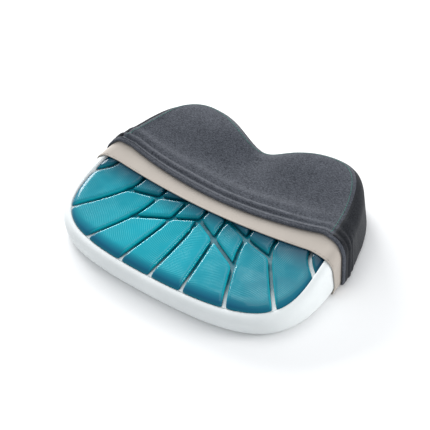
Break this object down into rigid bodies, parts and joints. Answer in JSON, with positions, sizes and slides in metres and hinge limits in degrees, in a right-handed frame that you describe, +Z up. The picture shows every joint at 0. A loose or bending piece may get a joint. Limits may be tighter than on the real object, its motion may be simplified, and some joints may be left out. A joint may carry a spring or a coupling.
{
  "type": "seat cushion",
  "caption": "Gel and foam seat cushion with a tailbone notch; its fabric cover and inner liner are drawn back over the rear half.",
  "frame": {"origin": "middle of the whole object's footprint, on the surface that it lies on", "axes": "+X to the sitter's left-right width (right seen from the front edge), -Y the low front edge, +Y the rear lobes and the tailbone notch, +Z up"},
  "size_m": [0.4576, 0.3182, 0.0792],
  "materials": {
    "foam": "matt moulded memory foam",
    "gel": "glossy translucent teal gel",
    "liner_fabric": "thin smooth elastic jersey",
    "knit_fabric": "charcoal heather knit",
    "thread": "green sewing thread"
  },
  "bodies": {
    "base": {"foam_base": "foam", "gel_web": "gel", "gel_cell_left_01": "gel", "gel_cell_left_02": "gel", "gel_cell_left_03": "gel", "gel_cell_left_04": "gel", "gel_cell_left_05": "gel", "gel_cell_left_06": "gel", "gel_cell_left_07": "gel", "gel_cell_left_08": "gel", "gel_cell_left_09": "gel", "gel_cell_left_10": "gel", "gel_cell_left_11": "gel", "gel_cell_left_12": "gel", "gel_cell_left_13": "gel", "gel_cell_left_14": "gel", "gel_cell_left_15": "gel", "gel_cell_left_16": "gel", "gel_cell_right_01": "gel", "gel_cell_right_02": "gel", "gel_cell_right_03": "gel", "gel_cell_right_04": "gel", "gel_cell_right_05": "gel", "gel_cell_right_06": "gel", "gel_cell_right_07": "gel", "gel_cell_right_08": "gel", "gel_cell_right_09": "gel", "gel_cell_right_10": "gel", "gel_cell_right_11": "gel", "gel_cell_right_12": "gel", "gel_cell_right_13": "gel", "gel_cell_right_14": "gel", "gel_cell_right_15": "gel", "gel_cell_right_16": "gel", "liner_bottom_panel": "liner_fabric", "cover_bottom_panel": "knit_fabric"},
    "inner_liner": {"liner_shell": "liner_fabric", "liner_hem": "liner_fabric"},
    "outer_cover": {"cover_top_panel": "knit_fabric", "cover_side_gusset": "knit_fabric", "cover_hem": "knit_fabric", "cover_topstitch": "thread"}
  },
  "joints": [
    {"name": "cover_peel", "type": "hinge", "parent": "base", "child": "outer_cover", "pos_m": [0, 0.1591, 0], "axis": [-1, 0, 0], "range_deg": [0, 70]},
    {"name": "liner_peel", "type": "hinge", "parent": "base", "child": "inner_liner", "pos_m": [0, 0.1591, 0], "axis": [-1, 0, 0], "range_deg": [0, 42]}
  ],
  "couplings": [
    {"joint": "liner_peel", "follows": "cover_peel", "ratio": 0.6}
  ]
}
